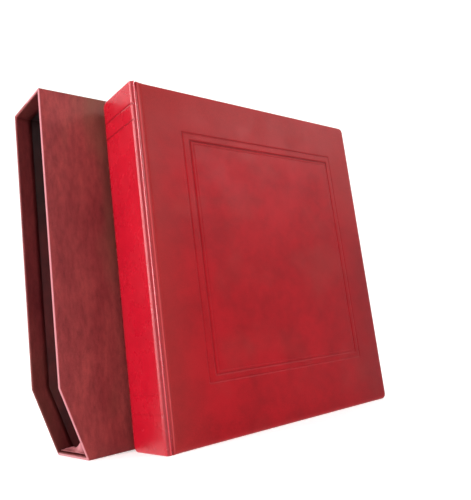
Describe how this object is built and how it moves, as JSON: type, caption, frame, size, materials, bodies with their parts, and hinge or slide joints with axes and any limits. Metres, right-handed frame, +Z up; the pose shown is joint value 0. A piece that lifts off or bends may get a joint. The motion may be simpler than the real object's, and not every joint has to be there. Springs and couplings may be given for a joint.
{
  "type": "stamp album with slipcase",
  "caption": "Upright ring-bound stamp album with padded leatherette covers, tooled spine and stock leaves, with its open-sided slipcase standing behind it.",
  "frame": {"origin": "middle of the footprint that the album and its slipcase stand on together, on the floor plane", "axes": "+Z up, +X from the album's spine to its fore-edge, +Y from the album's front cover towards the slipcase behind it"},
  "size_m": [0.282, 0.1096, 0.27],
  "materials": {
    "album_leatherette": "satin imitation leather, fine grain, mottled",
    "slipcase_leatherette": "satin imitation leather, streaked",
    "slipcase_lining": "matt",
    "greyboard": "matt",
    "padding_foam": "matt foam",
    "endpaper": "matt",
    "lining_cloth": "matt woven",
    "mechanism_plate": "bright nickel plate",
    "ring_wire": "bright nickel plate",
    "blade_steel": "brushed",
    "rivet_steel": "satin",
    "leaf_card": "matt black card",
    "clear_film": "clear glossy film"
  },
  "bodies": {
    "back_cover": {"back_board": "greyboard", "back_covering": "album_leatherette", "back_endpaper": "endpaper", "back_padding": "padding_foam"},
    "spine": {"back_joint_leatherette": "album_leatherette", "back_joint_lining": "lining_cloth", "front_joint_leatherette": "album_leatherette", "front_joint_lining": "lining_cloth", "mechanism_housing": "mechanism_plate", "mechanism_rivets": "rivet_steel", "spine_board": "greyboard", "spine_leatherette": "album_leatherette", "spine_lining": "lining_cloth", "trigger_pin_bottom": "rivet_steel", "trigger_pin_top": "rivet_steel"},
    "front_cover": {"front_board": "greyboard", "front_covering": "album_leatherette", "front_endpaper": "endpaper", "front_padding": "padding_foam"},
    "rings_front": {"blade_front": "blade_steel", "half_rings_front": "ring_wire"},
    "rings_back": {"blade_back": "blade_steel", "half_rings_back": "ring_wire"},
    "trigger_top": {"trigger_top": "mechanism_plate"},
    "trigger_bottom": {"trigger_bottom": "mechanism_plate"},
    "leaf_01": {"leaf_01_card": "leaf_card", "leaf_01_strips": "clear_film"},
    "leaf_02": {"leaf_02_card": "leaf_card", "leaf_02_strips": "clear_film"},
    "leaf_03": {"leaf_03_card": "leaf_card", "leaf_03_strips": "clear_film"},
    "leaf_04": {"leaf_04_card": "leaf_card", "leaf_04_strips": "clear_film"},
    "leaf_05": {"leaf_05_card": "leaf_card", "leaf_05_strips": "clear_film"},
    "leaf_06": {"leaf_06_card": "leaf_card", "leaf_06_strips": "clear_film"},
    "leaf_07": {"leaf_07_card": "leaf_card", "leaf_07_strips": "clear_film"},
    "leaf_08": {"leaf_08_card": "leaf_card", "leaf_08_strips": "clear_film"},
    "leaf_09": {"leaf_09_card": "leaf_card", "leaf_09_strips": "clear_film"},
    "leaf_10": {"leaf_10_card": "leaf_card", "leaf_10_strips": "clear_film"},
    "slipcase": {"case_back_board": "greyboard", "case_bottom_board": "greyboard", "case_bottom_leatherette": "slipcase_leatherette", "case_end_board": "greyboard", "case_front_board": "greyboard", "case_leatherette": "slipcase_leatherette", "case_lining": "slipcase_lining", "case_mouth_turn_ins": "slipcase_leatherette", "case_top_board": "greyboard"}
  },
  "joints": [
    {"name": "spine_hinge", "type": "hinge", "parent": "back_cover", "child": "spine", "pos_m": [-0.0908, -0.0061, 0.1305], "axis": [0, 0, -1], "range_deg": [0, 90]},
    {"name": "front_cover_hinge", "type": "hinge", "parent": "spine", "child": "front_cover", "pos_m": [-0.0908, -0.0549, 0.1305], "axis": [0, 0, -1], "range_deg": [0, 90]},
    {"name": "rings_open", "type": "hinge", "parent": "spine", "child": "rings_front", "pos_m": [-0.0894, -0.0305, 0.1305], "axis": [0, 0, -1], "range_deg": [0, 6]},
    {"name": "rings_back_open", "type": "hinge", "parent": "spine", "child": "rings_back", "pos_m": [-0.0894, -0.0305, 0.1305], "axis": [0, 0, 1], "range_deg": [0, 6]},
    {"name": "trigger_top_lift", "type": "hinge", "parent": "spine", "child": "trigger_top", "pos_m": [-0.0896, -0.0305, 0.2521], "axis": [0, -1, 0], "range_deg": [0, 20]},
    {"name": "trigger_bottom_press", "type": "hinge", "parent": "spine", "child": "trigger_bottom", "pos_m": [-0.0896, -0.0305, 0.0089], "axis": [0, 1, 0], "range_deg": [0, 20]},
    {"name": "leaf_01_turn", "type": "hinge", "parent": "spine", "child": "leaf_01", "pos_m": [-0.0726, -0.0305, 0.1305], "axis": [0, 0, -1], "range_deg": [0, 86]},
    {"name": "leaf_02_turn", "type": "hinge", "parent": "spine", "child": "leaf_02", "pos_m": [-0.0726, -0.0305, 0.1305], "axis": [0, 0, -1], "range_deg": [0, 84.5]},
    {"name": "leaf_03_turn", "type": "hinge", "parent": "spine", "child": "leaf_03", "pos_m": [-0.0726, -0.0305, 0.1305], "axis": [0, 0, -1], "range_deg": [0, 83]},
    {"name": "leaf_04_turn", "type": "hinge", "parent": "spine", "child": "leaf_04", "pos_m": [-0.0726, -0.0305, 0.1305], "axis": [0, 0, -1], "range_deg": [0, 81.5]},
    {"name": "leaf_05_turn", "type": "hinge", "parent": "spine", "child": "leaf_05", "pos_m": [-0.0726, -0.0305, 0.1305], "axis": [0, 0, -1], "range_deg": [0, 80]},
    {"name": "leaf_06_turn", "type": "hinge", "parent": "spine", "child": "leaf_06", "pos_m": [-0.0726, -0.0305, 0.1305], "axis": [0, 0, 1], "range_deg": [0, 80]},
    {"name": "leaf_07_turn", "type": "hinge", "parent": "spine", "child": "leaf_07", "pos_m": [-0.0726, -0.0305, 0.1305], "axis": [0, 0, 1], "range_deg": [0, 81.5]},
    {"name": "leaf_08_turn", "type": "hinge", "parent": "spine", "child": "leaf_08", "pos_m": [-0.0726, -0.0305, 0.1305], "axis": [0, 0, 1], "range_deg": [0, 83]},
    {"name": "leaf_09_turn", "type": "hinge", "parent": "spine", "child": "leaf_09", "pos_m": [-0.0726, -0.0305, 0.1305], "axis": [0, 0, 1], "range_deg": [0, 84.5]},
    {"name": "leaf_10_turn", "type": "hinge", "parent": "spine", "child": "leaf_10", "pos_m": [-0.0726, -0.0305, 0.1305], "axis": [0, 0, 1], "range_deg": [0, 86]},
    {"name": "slipcase_slide", "type": "slide", "parent": "back_cover", "child": "slipcase", "axis": [-1, 0, 0], "range_m": [0, 0.2]}
  ],
  "couplings": [
    {"joint": "rings_back_open", "follows": "rings_open", "ratio": 1},
    {"joint": "trigger_top_lift", "follows": "rings_open", "ratio": 3.3333},
    {"joint": "trigger_bottom_press", "follows": "rings_open", "ratio": 3.3333},
    {"joint": "leaf_01_turn", "follows": "front_cover_hinge", "ratio": 0.95556},
    {"joint": "leaf_02_turn", "follows": "front_cover_hinge", "ratio": 0.93889},
    {"joint": "leaf_03_turn", "follows": "front_cover_hinge", "ratio": 0.92222},
    {"joint": "leaf_04_turn", "follows": "front_cover_hinge", "ratio": 0.90555},
    {"joint": "leaf_05_turn", "follows": "front_cover_hinge", "ratio": 0.88889},
    {"joint": "leaf_06_turn", "follows": "spine_hinge", "ratio": 0.88889},
    {"joint": "leaf_07_turn", "follows": "spine_hinge", "ratio": 0.90555},
    {"joint": "leaf_08_turn", "follows": "spine_hinge", "ratio": 0.92222},
    {"joint": "leaf_09_turn", "follows": "spine_hinge", "ratio": 0.93889},
    {"joint": "leaf_10_turn", "follows": "spine_hinge", "ratio": 0.95556}
  ]
}
